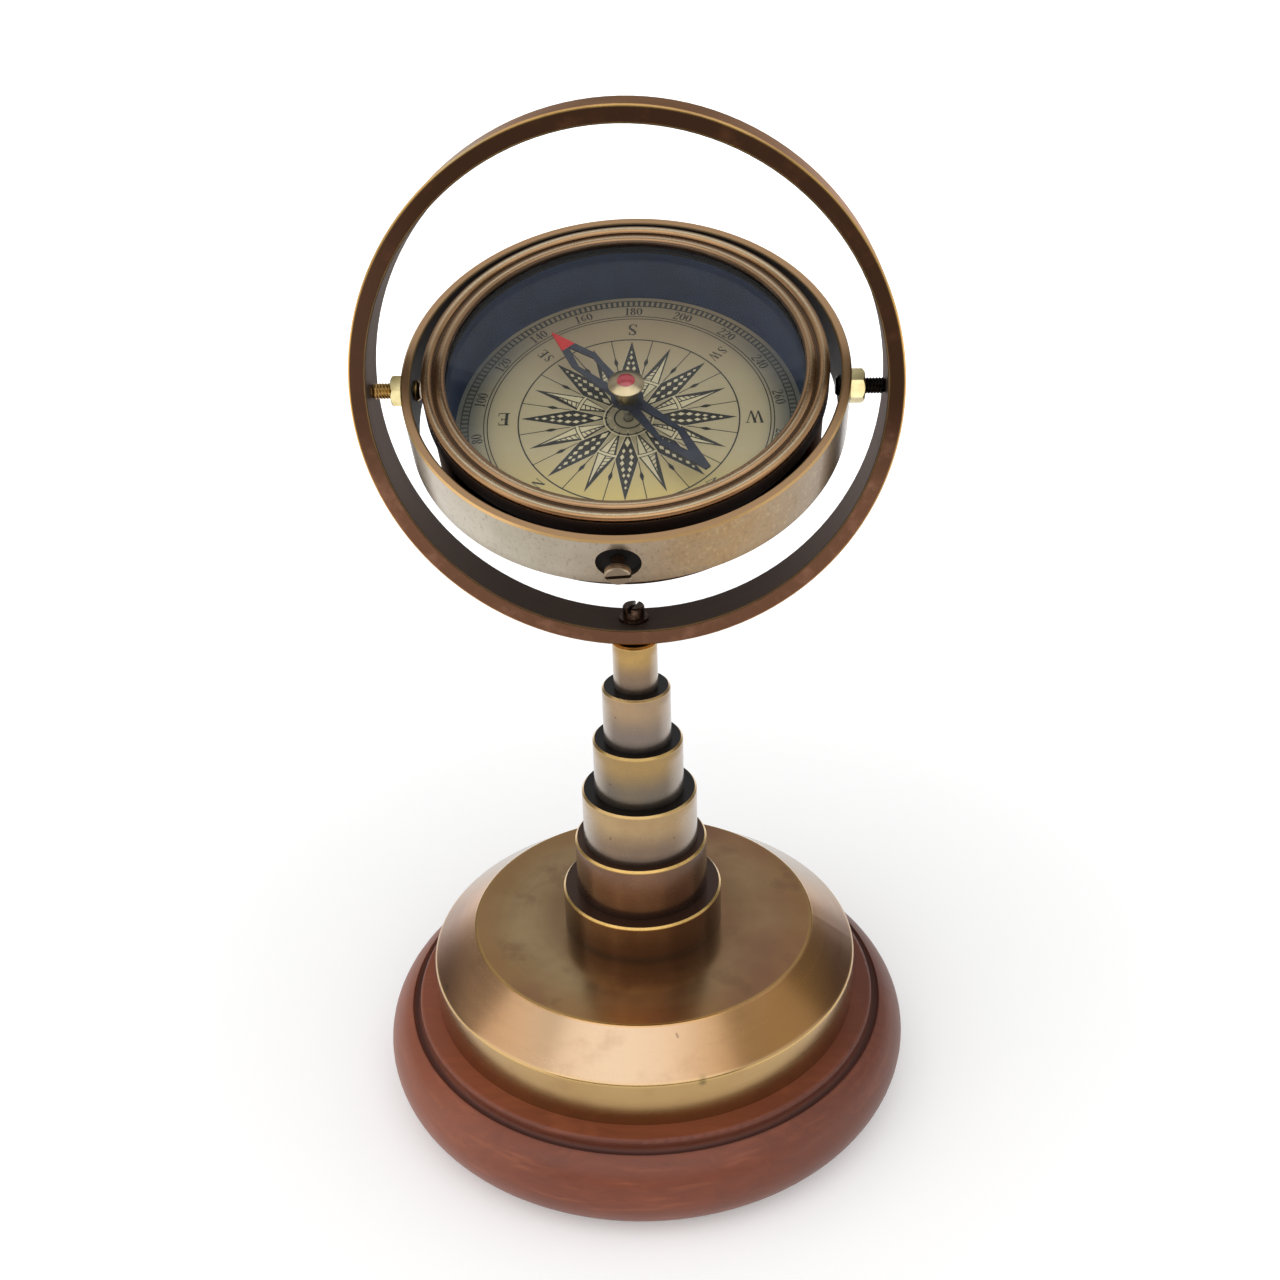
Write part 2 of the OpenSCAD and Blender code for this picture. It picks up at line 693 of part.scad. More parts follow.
felt_pad();
wood_base();
base_nut();
base_washer();
tie_stud();
base_cover();
stem_tier_1();
stem_tier_2();
stem_tier_3();
stem_tier_4();
stem_tier_5();
stem_tier_6();
outer_ring();
ring_screw();
ring_washer();
gimbal_ring();
axle_screw_left();
axle_screw_right();
axle_nut_left();
axle_nut_right();
pivot_bush_front();
pivot_bush_back();
bowl();
bezel();
glass_gasket();
bowl_liner();
dial_plate();
compass_rose();
pivot_post();
pivot_screw_front();
pivot_screw_back();
pivot_nut_front();
pivot_nut_back();
needle();
needle_cap();
cap_jewel();
glass();
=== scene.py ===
import json
import math

import bpy
from mathutils import Matrix, Vector


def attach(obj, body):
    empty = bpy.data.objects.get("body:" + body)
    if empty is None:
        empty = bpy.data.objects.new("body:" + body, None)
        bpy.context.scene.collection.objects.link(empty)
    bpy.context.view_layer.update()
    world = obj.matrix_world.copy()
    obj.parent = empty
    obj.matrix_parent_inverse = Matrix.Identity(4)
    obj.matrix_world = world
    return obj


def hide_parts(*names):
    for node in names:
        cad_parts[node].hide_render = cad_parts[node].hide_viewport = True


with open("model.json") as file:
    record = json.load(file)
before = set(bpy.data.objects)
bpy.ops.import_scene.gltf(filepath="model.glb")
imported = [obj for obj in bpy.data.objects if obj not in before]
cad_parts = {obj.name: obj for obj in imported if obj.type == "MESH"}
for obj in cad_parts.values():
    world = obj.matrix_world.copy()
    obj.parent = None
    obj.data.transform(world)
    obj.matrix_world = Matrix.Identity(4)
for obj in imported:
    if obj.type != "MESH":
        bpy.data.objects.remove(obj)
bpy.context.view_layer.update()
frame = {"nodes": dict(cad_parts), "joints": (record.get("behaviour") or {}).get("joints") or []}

# Looks of a desk gimbal compass: finishes of its pieces, cut threads, the printed card, and the studio

MM = 0.001
NODES = frame["nodes"]
JOINTS = {joint["name"]: joint for joint in frame["joints"]}

X, Y, Z = Vector((1, 0, 0)), Vector((0, 1, 0)), Vector((0, 0, 1))

# The point that the gimbal ring and the bowl turn about, and the bowl's own right, far side and up at rest
PIVOT = Vector(JOINTS["gimbal_turn"]["pos_m"])
RIGHT = Vector(JOINTS["gimbal_turn"]["axis"])
UP = Vector(JOINTS["needle_turn"]["axis"]).normalized()
FAR = UP.cross(RIGHT)

# Axes of the base and stem, the outer ring and the bowl: an origin, and three directions, where the third is
# the one that the pieces were turned about
AXES = {"base": (Vector(), X, Y, Z), "ring": (PIVOT, X, Z, -Y), "bowl": (PIVOT, RIGHT, FAR, UP)}


def metres(kind):
    """Matrix from millimetres along the given axes to the scene's metres."""
    origin, *directions = AXES[kind]
    return Matrix.Translation(origin) @ Matrix(directions).transposed().to_4x4() @ Matrix.Scale(MM, 4)


BOWL = metres("bowl")


def places(node, kind):
    """A CAD node's vertices along the given axes, in millimetres."""
    back = metres(kind).inverted()
    return [back @ vertex.co for vertex in NODES[node].data.vertices]


def span(node, kind="base"):
    """Lowest and highest corner of a CAD node along the given axes, in millimetres."""
    points = places(node, kind)
    return [[pick(p[i] for p in points) for i in range(3)] for pick in (min, max)]


def radii(node, kind="base"):
    """Least and greatest distance of a CAD node from the axis that it was turned about, in millimetres."""
    distances = [point.xy.length for point in places(node, kind)]
    return min(distances), max(distances)


def top(node, kind="base"):
    """Height of a CAD node's highest point along the given axes, in millimetres."""
    return span(node, kind)[1][2]


def srgb(red, green, blue):
    """A colour as seen on screen, 0 to 255, as the linear colour that a shader takes."""
    return tuple(c / 12.92 if c <= 0.04045 else ((c + 0.055) / 1.055) ** 2.4
                 for c in (red / 255, green / 255, blue / 255))


# Shader maths


class Value:
    """A number that varies over a surface. An expression on it adds its Math nodes."""

    def __init__(self, finish, socket):
        self.finish = finish
        self.socket = socket

    def __add__(self, other):
        return self.finish.maths("ADD", self, other)

    def __sub__(self, other):
        return self.finish.maths("SUBTRACT", self, other)

    def __rsub__(self, other):
        return self.finish.maths("SUBTRACT", other, self)

    def __mul__(self, other):
        return self.finish.maths("MULTIPLY", self, other)

    def __truediv__(self, other):
        return self.finish.maths("DIVIDE", self, other)

    def __pow__(self, other):
        return self.finish.maths("POWER", self, other)

    __radd__ = __add__
    __rmul__ = __mul__

    def size(self):
        """The number without its sign."""
        return self.finish.maths("ABSOLUTE", self)

    def rise(self, low, high):
        """0 below low, 1 above high, smooth between; low above high turns it round."""
        if low > high:
            return 1 - self.rise(high, low)
        return self.finish.node("ShaderNodeMapRange", {"interpolation_type": "SMOOTHSTEP"},
                                {"Value": self, "From Min": low, "From Max": high})

    def near(self, middle, reach):
        """1 at middle, falling to 0 at reach on either side."""
        return (self - middle).size().rise(reach, 0)


class Finish:
    """A material in the making, with one Principled shader."""

    def __init__(self, name, **constants):
        self.material = bpy.data.materials.new(name)
        self.material.use_nodes = True
        self.tree = self.material.node_tree
        self.shader = self.tree.nodes["Principled BSDF"]
        self.set(**constants)

    def join(self, socket, value):
        if isinstance(value, Value):
            self.tree.links.new(value.socket, socket)
        elif socket.type == "RGBA":
            socket.default_value = (*value, 1)
        else:
            socket.default_value = value

    def set(self, **values):
        """Sets the shader's sockets; base_color stands for Base Color."""
        names = {socket.name.lower().replace(" ", "_"): socket for socket in self.shader.inputs}
        for name, value in values.items():
            self.join(names[name], value)

    def node(self, kind, settings, values, output=0):
        """Adds a node of any type: first its settings, then the values or links of its sockets."""
        made = self.tree.nodes.new(kind)
        for name, value in settings.items():
            setattr(made, name, value)
        for name, value in values.items():
            self.join(made.inputs[name], value)
        return Value(self, made.outputs[output])

    def maths(self, operation, *values):
        return self.node("ShaderNodeMath", {"operation": operation}, dict(enumerate(values)))

    def mix(self, amount, first, second):
        """Colour: first where amount is 0, second where it is 1."""
        return self.node("ShaderNodeMix", {"data_type": "RGBA"}, {0: amount, 6: first, 7: second}, output=2)

    def axes(self, kind="base"):
        """Rest place along the given axes and distance from the third of them, in millimetres."""
        origin, *directions = AXES[kind]
        place = self.node("ShaderNodeTexCoord", {}, {}, output="Object")
        moved = self.node("ShaderNodeVectorMath", {"operation": "SUBTRACT"}, {0: place, 1: tuple(origin)})
        x, y, z = (self.node("ShaderNodeVectorMath", {"operation": "DOT_PRODUCT"},
                             {0: moved, 1: tuple(way / MM)}, output="Value") for way in directions)
        return x, y, z, (x * x + y * y) ** 0.5

    def vector(self, x, y, z):
        return self.node("ShaderNodeCombineXYZ", {}, {0: x, 1: y, 2: z})

    def noise(self, place, scale, detail=3.0, roughness=0.55, height=None):
        """Noise from 0 to 1 over a place. Height, where given, is the fourth dimension."""
        values = {"Vector": place, "Scale": scale, "Detail": detail, "Roughness": roughness}
        if height is None:
            return self.node("ShaderNodeTexNoise", {"noise_dimensions": "3D"}, values)
        return self.node("ShaderNodeTexNoise", {"noise_dimensions": "4D"}, {**values, "W": height})

    def turning_marks(self, x, y, z, r):
        """Fine rings left by the lathe: quick change across the turning, slow along it."""
        fine, drawn = 1.3, 1.6
        place = self.vector(x / r * drawn, y / r * drawn, r * fine)
        return self.noise(place, 1.0, 2.0, 0.5, height=z * fine)

    def bump(self, height, strength):
        """Relief of at most a fifth of a millimetre."""
        return self.node("ShaderNodeBump", {}, {"Height": height, "Strength": strength, "Distance": 0.2 * MM})

    def rays(self):
        """Masks of what the camera sees, of what is mirrored and of what is seen through glass."""
        return [self.node("ShaderNodeLightPath", {}, {}, output=name)
                for name in ("Is Camera Ray", "Is Glossy Ray", "Is Transmission Ray")]

    def dress(self, *pieces):
        """Puts the material on CAD nodes, by name, or on objects."""
        for piece in pieces:
            mesh = (NODES[piece] if isinstance(piece, str) else piece).data
            mesh.materials.clear()
            mesh.materials.append(self.material)


# Sizes of the pieces that the tints, the rubbed gold and the painted light follow, in millimetres

RING_IN, RING_OUT = radii("outer_ring", "ring")
RING_HALF = top("outer_ring", "ring")
GIMBAL_IN, GIMBAL_OUT = radii("gimbal_ring", "bowl")
GIMBAL_HALF = top("gimbal_ring", "bowl")
BEZEL_IN, BEZEL_OUT = radii("bezel", "bowl")
BEZEL_TOP = top("bezel", "bowl")
BEAD_IN, BEAD_OUT = BEZEL_IN + 1.0, BEZEL_OUT - 1.0
GROOVE_R = (BEZEL_IN + BEZEL_OUT) / 2
PIVOT_HEAD_OUT = span("pivot_screw_back", "bowl")[1][1]
FOOT_R = radii("stem_tier_6")[1]
RIM_R = radii("base_cover")[1]
FLAT_Z = top("base_cover")
# Edge of the cover's flat top, and the height where its slope meets its rim
FLAT_R, RIM_Z = 36.4, 30.4
# Inner edge of the wooden base's turned groove
LEDGE_R = 49.9
# Depth under the pivot axis below which the bowl's side is free of its painted shadow
BOWL_SHADOW_END = 8.0
# Height of the seat on the first tier, under the outer ring
SEAT_HEIGHT = 1.2


# Finishes of metal and wood

GOLD = srgb(218, 178, 98)
WHITE = (1, 1, 1)


def aged_brass(name, kind, bright, dark, gloss, wear=None, gold=GOLD, blotch=0.09, marks=0.04, stain_and_light=None,
               coat=0.25, edge=WHITE):
    """Lacquered antique brass: patina in soft blotches, lathe marks, stained tints and painted light and
    shade, and bare gold, partly rubbed and partly a painted highlight.

    Each tint, stained or a painted light or shade, is a mask and its tint, with a third number where it also
    takes the shine away.
    """
    finish = Finish(name, coat_roughness=0.16, specular_tint=edge)
    x, y, z, r = finish.axes(kind)
    place = finish.vector(x, y, z)
    patina = finish.noise(place, blotch, 4.0, 0.6)
    freckle = finish.noise(place, 1.6, 2.0)
    lathe = finish.turning_marks(x, y, z, r)
    tone = patina.rise(0.3, 0.7) * 0.75 + lathe * 0.3 + freckle * 0.12
    colour = finish.mix(tone, dark, bright)
    # A mask of zeros, to which each matt tint adds
    dull = lathe * 0
    for mask, tint, *matt in stain_and_light(finish, x, y, z, r) if stain_and_light else ():
        colour = finish.mix(mask, colour, tint)
        if matt:
            dull = dull + mask * matt[0]
    if wear:
        worn_and_lit = wear(finish, x, y, z, r) * (freckle.rise(0.25, 0.6) * 0.25 + 0.75)
        colour = finish.mix(worn_and_lit, colour, gold)
    dull = dull.rise(0, 1)
    finish.set(base_color=colour, metallic=1 - dull * 0.75, coat_weight=coat - dull * coat,
               roughness=lathe * 0.12 + freckle * 0.06 + dull * 0.3 + (gloss - 0.08),
               normal=finish.bump(lathe, marks))
    return finish


def wood_finish():
    """Stained and oiled wood: wavy grain, fine pores and lathe streaks; painted shade in the turned groove
    and on the right, painted light on the left.
    """
    finish = Finish("stained_wood", coat_weight=0.18, coat_roughness=0.3, specular_ior_level=0.35)
    x, y, z, r = finish.axes()
    wander = finish.noise(finish.vector(x, y * 0.3, z), 0.05, 3.0)
    grain = finish.noise(finish.vector(x * 0.06, y + wander * 10, z * 0.8), 0.7, 5.0, 0.6)
    pores = finish.noise(finish.vector(x * 0.3, y * 3, z * 3), 1.2, 3.0, 0.6)
    smudge = finish.noise(finish.vector(x, y, z), 0.04, 2.0)
    turned = finish.noise(finish.vector(x * 0.1, y * 0.1, z), 0.9, 3.0)
    tone = grain.rise(0.25, 0.8) * 0.35 + smudge * 0.5 + 0.1
    colour = finish.mix(tone, srgb(92, 42, 25), srgb(134, 68, 41))
    colour = finish.mix(pores.rise(0.6, 0.8) * 0.35, colour, srgb(66, 28, 18))
    colour = finish.mix(turned.rise(0.5, 0.75) * 0.4, colour, srgb(156, 86, 54))
    # Painted shade on the right and painted light on the left
    colour = finish.mix(x.rise(0, 54) * 0.5, colour, srgb(76, 38, 24))
    colour = finish.mix(x.rise(-14, -54) * 0.35, colour, srgb(156, 88, 58))
    # Painted shade in the turned groove
    groove = r.near(LEDGE_R + 0.8, 1.5) * z.rise(16.0, 17.4)
    colour = finish.mix(groove * 0.85, colour, srgb(48, 22, 18))
    finish.set(base_color=colour, roughness=grain * 0.12 + groove * 0.4 + 0.4,
               normal=finish.bump(pores * 0.5 + grain, 0.08))
    return finish


def plain(name, colour, second, roughness, scale=0.5, metal=0.0, kind="base", strength=0.08, **constants):
    """A finish of two close tones, soft noise and a slight relief."""
    finish = Finish(name, metallic=metal, **constants)
    x, y, z, r = finish.axes(kind)
    grain = finish.noise(finish.vector(x, y, z), scale, 4.0)
    finish.set(base_color=finish.mix(grain.rise(0.3, 0.7), colour, second),
               roughness=grain * 0.1 + (roughness - 0.05), normal=finish.bump(grain, strength))
    return finish


# Tints, rubbed gold, and painted light and shade of each piece


def ring_stains(finish, x, y, z, r):
    """Faces nearly black, dark patina with a painted dark reflection, browner on the left, lighter and redder
    toward the bottom; dark and matt on the inner face; paler outside on the left, a painted reflection.
    """
    face = z.size().rise(RING_HALF - 0.12, RING_HALF - 0.04)
    inside = r.rise(RING_IN + 0.4, RING_IN + 0.1)
    outside = r.rise(RING_OUT - 0.4, RING_OUT - 0.1)
    low = y.rise(0, -24)
    streak = finish.noise(finish.vector(x * 0.5, y * 0.5, z), 0.5, 5.0, 0.65)
    # Painted dark reflection over the faces' dark patina
    yield face, srgb(46, 27, 15)
    yield face * streak.rise(0.5, 0.8) * 0.5, srgb(74, 46, 26)
    yield face * x.rise(-30, -48) * 0.7, srgb(66, 44, 31)
    yield face * low * 0.9, srgb(96, 65, 48)
    yield face * low * streak.rise(0.45, 0.75) * 0.45, srgb(136, 98, 78)
    yield inside, srgb(70, 60, 53), 0.8
    # Painted reflection: the outside paler on the left, with a pale highlight high on the left
    yield outside * x.rise(-8, -34) * 0.8, srgb(216, 170, 112)
    yield outside * x.near(-26, 9) * y.rise(0, 20) * 0.8, srgb(206, 198, 172)


def ring_wear(finish, x, y, z, r):
    """Bare gold along the outer ring's broken edges, partly rubbed and partly a painted highlight, brightest
    at the top.
    """
    rubbed = finish.noise(finish.vector(x, y, z), 0.12, 3.0).rise(0.3, 0.6)
    outer = r.near(RING_OUT, 0.55) * z.size().near(RING_HALF, 0.5) * (y.rise(-30, 20) * 0.7 + 0.3)
    inner = r.near(RING_IN, 0.45) * z.size().near(RING_HALF, 0.35)
    return (outer + inner * 0.5) * (rubbed * 0.5 + 0.5)


def gimbal_wear(finish, x, y, z, r):
    """Bare gold along the upper edges, more on the outer one, partly rubbed and partly a painted highlight.
    """
    outer = r.near(GIMBAL_OUT, 0.5) * z.near(GIMBAL_HALF, 0.5)
    return outer * 0.9 + r.near(GIMBAL_IN, 0.4) * z.near(GIMBAL_HALF, 0.4) * 0.4


def gimbal_stains(finish, x, y, z, r):
    """Grey beige on the left as a painted reflection, golden brown on the right, warm on the upper face, and
    nearly black inside as a painted shade.
    """
    mottle = finish.noise(finish.vector(x, y, z), 0.25, 4.0)
    scuff = finish.noise(finish.vector(x, y, z * 0.7), 1.5, 4.0, 0.7)
    # The left keeps the grey beige base, a painted reflection; the right turns golden brown
    yield x.rise(-6, 16) * (mottle * 0.6 + 0.5), srgb(160, 124, 74)
    yield x.rise(20, 36) * 0.7, srgb(122, 106, 86)
    yield mottle.rise(0.6, 0.75) * x.rise(-10, 16) * 0.4, srgb(104, 78, 52)
    yield scuff.rise(0.54, 0.68) * 0.45, srgb(116, 108, 90)
    yield scuff.rise(0.46, 0.34) * x.rise(-10, 14) * 0.35, srgb(206, 180, 130)
    yield z.rise(-3, -GIMBAL_HALF) * 0.3, srgb(112, 96, 76)
    yield z.rise(GIMBAL_HALF - 0.4, GIMBAL_HALF - 0.3), srgb(200, 160, 118)
    # Painted shade: the inner face nearly black in the gap to the bowl
    yield r.rise(GIMBAL_IN + 0.4, GIMBAL_IN + 0.1), srgb(34, 20, 12), 0.9


def tier_wear(ledge, radius, amount):
    """A gold line round a tier's upper edge, partly rubbed and partly a painted highlight."""
    def wear(finish, x, y, z, r):
        return z.rise(ledge - 0.75, ledge - 0.3) * r.rise(radius - 0.5, radius - 0.3) * amount
    return wear


def tier_stains(ledge, radius, foot, foot_shade):
    """The upper tiers: painted shade darker toward the foot, nearly black on the ledge, a painted pale
    reflection on the sides, and a few specks.
    """
    def stains(finish, x, y, z, r):
        patch = finish.noise(finish.vector(x, y, z * 0.6), 0.12, 3.0)
        speck = finish.noise(finish.vector(x, y, z), 0.45, 1.0)
        sides = x.size().rise(radius * 0.6, radius * 0.95)
        # Painted dark reflection of the ledge, darker toward the foot
        yield z.rise(ledge - 2, foot + 3) * (patch * 0.6 + 0.6), foot_shade
        # Painted pale reflection on the left and right sides
        yield sides * z.rise(ledge - 1, ledge - 3) * 0.6, srgb(186, 172, 158)
        # Painted shade at the foot
        yield z.rise(foot + 3, foot) * 0.8, srgb(52, 44, 38), 0.4
        yield speck.rise(0.76, 0.8) * 0.5, srgb(60, 42, 30)
        # Painted shade on the ledge, nearly black
        yield z.rise(ledge - 0.3, ledge - 0.1) * r.rise(radius - 0.4, radius - 0.5), srgb(26, 20, 16), 0.2
    return stains


def foot_tier_stains(ledge, radius, foot, foot_shade):
    """The two foot tiers: painted shade darker on the right and toward the foot, and a brown ledge painted as
    its dark reflection.
    """
    def stains(finish, x, y, z, r):
        yield z.rise(ledge - 1, foot + 2) * 0.6, foot_shade
        # Painted shade on the right side
        yield x.rise(0, 13) * 0.55, srgb(52, 34, 22)
        yield z.rise(foot + 2, foot) * 0.6, srgb(40, 26, 18), 0.4
        # The ledge's brown, a painted dark reflection
        yield z.rise(ledge - 0.3, ledge - 0.1) * r.rise(radius - 0.4, radius - 0.5), srgb(76, 50, 35), 0.35
    return stains


def bezel_wear(finish, x, y, z, r):
    """Painted highlight along the crests of the two beads, brightest on the near and the far side."""
    outer = r.near(BEAD_OUT, 0.5) * z.rise(BEZEL_TOP - 0.12, BEZEL_TOP)
    inner = r.near(BEAD_IN, 0.4) * z.rise(BEZEL_TOP - 0.2, BEZEL_TOP - 0.1)
    return (outer * 0.8 + inner * 0.7) * (y.size().rise(4, 26) * 0.7 + 0.4)


def bezel_stains(finish, x, y, z, r):
    """Dark in the groove between the two beads and at the lip; nearly black under the rim, a painted shade
    facing the gimbal ring.
    """
    shoulder = z.rise(BEZEL_TOP - 0.15, BEZEL_TOP - 0.5) * r.rise(BEZEL_OUT - 0.9, BEZEL_OUT - 0.5)
    yield r.rise(BEZEL_IN + 2.0, BEZEL_IN + 1.4) * 0.5, srgb(156, 124, 92)
    yield r.near(GROOVE_R, 0.6) * 0.9, srgb(52, 33, 20), 0.3
    yield shoulder * 0.6, srgb(128, 84, 52)
    yield r.rise(BEZEL_IN + 0.3, BEZEL_IN + 0.1) * 0.8, srgb(60, 44, 36), 0.4
    # Painted shade on the bezel's side, facing the gimbal ring
    yield z.rise(BEZEL_TOP - 0.9, BEZEL_TOP - 1.5), srgb(38, 22, 14), 0.9


def bowl_stains(finish, x, y, z, r):
    """Painted shadow, nearly black high on the bowl's side, where the gimbal ring shades it."""
    yield z.rise(-BOWL_SHADOW_END, -BOWL_SHADOW_END + 5), srgb(40, 25, 17)
    yield z.rise(-BOWL_SHADOW_END - 4, -BOWL_SHADOW_END + 2) * 0.5, srgb(60, 40, 28)


def cover_wear(finish, x, y, z, r):
    """Bare gold round the flat's edge, and a little at the rim, partly rubbed and partly a painted highlight.
    """
    edge = r.near(FLAT_R - 0.1, 0.6) * z.rise(FLAT_Z - 0.9, FLAT_Z - 0.4)
    return edge * 0.5 + r.near(RIM_R, 0.5) * z.near(RIM_Z, 0.8) * 0.2


def cover_stains(finish, x, y, z, r):
    """Tones of the slope, the rim and the flat top, then clouds, specks and two dark marks; the slope's tones
    and the dark round the stem's foot are painted light and shade.
    """
    smear = finish.noise(finish.vector(x, y, z * 0.5), 0.035, 3.0)
    cloud = finish.noise(finish.vector(x, y, z), 0.11, 4.0, 0.6)
    speck = finish.noise(finish.vector(x, y, z), 0.4, 1.0)
    slope = r.rise(FLAT_R - 0.3, FLAT_R + 0.5) * r.rise(RIM_R, RIM_R - 0.8)
    flat = z.rise(FLAT_Z - 0.4, FLAT_Z - 0.1)
    yield slope, srgb(186, 148, 106), 0.25
    # Painted light on the slope: a highlight in front, shade toward the right, the left and the far sides,
    # and greyer toward the back as a painted reflection
    yield slope * y.rise(0, -20) * x.near(-4, 26), srgb(200, 171, 140)
    yield slope * x.rise(4, 30), srgb(152, 108, 54)
    yield slope * x.rise(-14, -36) * 0.9, srgb(186, 140, 98)
    yield slope * x.size().rise(34, 43) * y.rise(20, 4) * 0.8, srgb(104, 66, 42)
    yield slope * y.rise(4, 26) * 0.8, srgb(148, 130, 106)
    yield r.rise(RIM_R - 0.3, RIM_R - 0.1) * 0.7, srgb(174, 140, 84)
    yield flat * r.rise(FLAT_R - 10, FLAT_R - 1) * 0.6, srgb(190, 136, 76)
    # Painted reflection of the stem's foot, darker round it on the flat
    yield flat * r.rise(FOOT_R + 9, FOOT_R + 1) * 0.6, srgb(140, 98, 62)
    yield flat * (x * 0.8 + y * 0.2).rise(-6, 36) * smear.rise(0.3, 0.6) * 0.85, srgb(174, 118, 84)
    yield flat * smear.rise(0.5, 0.68) * 0.55, srgb(156, 108, 84)
    yield cloud.rise(0.52, 0.72) * (flat * 0.25 + 0.25), srgb(148, 106, 74)
    yield speck.rise(0.78, 0.82) * 0.45, srgb(80, 56, 40)
    # The two marks, at the slope's foot in front and on its left
    yield x.near(13.3, 1.2) * y.rise(-30, -40) * z.near(30.0, 1.4) * 0.8, srgb(96, 82, 48)
    yield x.near(-40.8, 0.8) * y.near(-18, 1.2) * 0.7, srgb(96, 78, 52)


def pivot_stains(finish, x, y, z, r):
    """Dark on the pivot screw's shank, a painted shade in its hole, and round the end of its head, whose face
    is rubbed pale.
    """
    out = y.size()
    # Painted shade on the shank in its hole
    yield out.rise(PIVOT_HEAD_OUT - 1.2, PIVOT_HEAD_OUT - 1.9), srgb(70, 50, 36), 0.3
    yield out.rise(PIVOT_HEAD_OUT - 0.3, PIVOT_HEAD_OUT - 0.1) * 0.8, srgb(148, 134, 114)
    yield out.near(PIVOT_HEAD_OUT - 1.0, 0.35) * 0.8, srgb(30, 18, 12), 0.5


# Upper tone, its darker blotches, and the painted shade toward the foot of each tier
TIERS = {1: (srgb(172, 138, 76), srgb(140, 108, 60), srgb(112, 92, 76)),
         2: (srgb(160, 132, 98), srgb(134, 114, 92), srgb(110, 98, 90)),
         3: (srgb(158, 128, 76), srgb(134, 108, 74), srgb(100, 90, 78)),
         4: (srgb(184, 156, 110), srgb(154, 124, 86), srgb(116, 96, 80)),
         5: (srgb(128, 94, 68), srgb(98, 70, 52), srgb(78, 54, 40)),
         6: (srgb(108, 76, 46), srgb(82, 56, 36), srgb(70, 46, 30))}
FOOT_TIERS = (5, 6)

for number, (bright, dark, foot_shade) in TIERS.items():
    node = f"stem_tier_{number}"
    low, high = span(node)
    ledge = high[2] - (SEAT_HEIGHT if number == 1 else 0)
    stains, worn_and_lit = (foot_tier_stains, 0.8) if number in FOOT_TIERS else (tier_stains, 0.4)
    aged_brass(f"tier_{number}_brass", "base", bright, dark, 0.28, tier_wear(ledge, high[0], worn_and_lit),
               stain_and_light=stains(ledge, high[0], low[2], foot_shade), blotch=0.06, coat=0.6).dress(node)

aged_brass("cover_brass", "base", srgb(210, 178, 130), srgb(180, 145, 98), 0.19, cover_wear, blotch=0.04,
           marks=0.008, stain_and_light=cover_stains, coat=0.5).dress("base_cover")
aged_brass("ring_brass", "ring", srgb(206, 164, 118), srgb(160, 120, 84), 0.32, ring_wear, blotch=0.05,
           stain_and_light=ring_stains, coat=0.06, edge=srgb(190, 150, 120)).dress("outer_ring")
# The grey beige base is a painted pale reflection, kept on the left
aged_brass("gimbal_brass", "bowl", srgb(192, 182, 164), srgb(164, 152, 132), 0.3, gimbal_wear, blotch=0.05,
           stain_and_light=gimbal_stains).dress("gimbal_ring")
aged_brass("bowl_brass", "bowl", srgb(112, 80, 54), srgb(78, 54, 38), 0.4, blotch=0.05,
           stain_and_light=bowl_stains, coat=0.0, edge=srgb(120, 90, 70)).dress("bowl")
# The bezel's near-white gold is its painted crest highlight
aged_brass("bezel_brass", "bowl", srgb(178, 138, 94), srgb(142, 106, 68), 0.25, bezel_wear, blotch=0.05,
           gold=srgb(250, 234, 200), marks=0.02, stain_and_light=bezel_stains, coat=0.5).dress("bezel")
aged_brass("cap_brass", "bowl", srgb(200, 184, 148), srgb(178, 158, 118), 0.3, blotch=0.2,
           marks=0.02).dress("needle_cap")
aged_brass("pivot_brass", "bowl", srgb(140, 114, 90), srgb(104, 80, 60), 0.34, blotch=0.2,
           stain_and_light=pivot_stains, coat=0.1).dress("pivot_screw_front", "pivot_screw_back", "pivot_nut_front",
                                               "pivot_nut_back")
plain("nut_brass", srgb(236, 222, 168), srgb(206, 186, 130), 0.3, 0.35, metal=1.0, kind="bowl",
      strength=0.03, coat_weight=0.2, coat_roughness=0.2).dress("axle_nut_left", "axle_nut_right")

wood_finish().dress("wood_base")
plain("green_felt", srgb(26, 52, 36), srgb(36, 68, 48), 0.95, 2.5, strength=0.6).dress("felt_pad")
plain("zinc_steel", srgb(150, 150, 148), srgb(120, 120, 120), 0.35, 0.8,
      metal=1.0).dress("base_nut", "base_washer", "tie_stud")
plain("blackened_steel", srgb(104, 80, 64), srgb(48, 36, 30), 0.34, 1.2,
      metal=1.0).dress("ring_screw", "ring_washer")
plain("black_bush", srgb(12, 7, 4), srgb(7, 4, 3), 0.7, 1.0,
      specular_ior_level=0.2).dress("pivot_bush_front", "pivot_bush_back")
plain("black_gasket", srgb(24, 24, 26), srgb(16, 16, 18), 0.7, 1.0).dress("glass_gasket")
plain("polished_steel", srgb(196, 198, 204), srgb(170, 172, 178), 0.2, 1.0, metal=1.0).dress("pivot_post")
# The navy is partly the liner's paint and partly a painted dark reflection of the glass
plain("navy_liner", srgb(22, 43, 74), srgb(31, 54, 88), 0.5, 0.12, kind="bowl",
      strength=0.0).dress("bowl_liner")
plain("red_jewel", srgb(176, 36, 48), srgb(150, 22, 34), 0.25, 0.8, kind="bowl",
      coat_weight=0.8, coat_roughness=0.08).dress("cap_jewel")


# Dial, needle and glass

# Direction of the needle's red tip, in degrees left of the bowl's far side
NEEDLE_HEADING = 41
# Distance out at which its red paint starts, in millimetres
NEEDLE_RED = 17.6


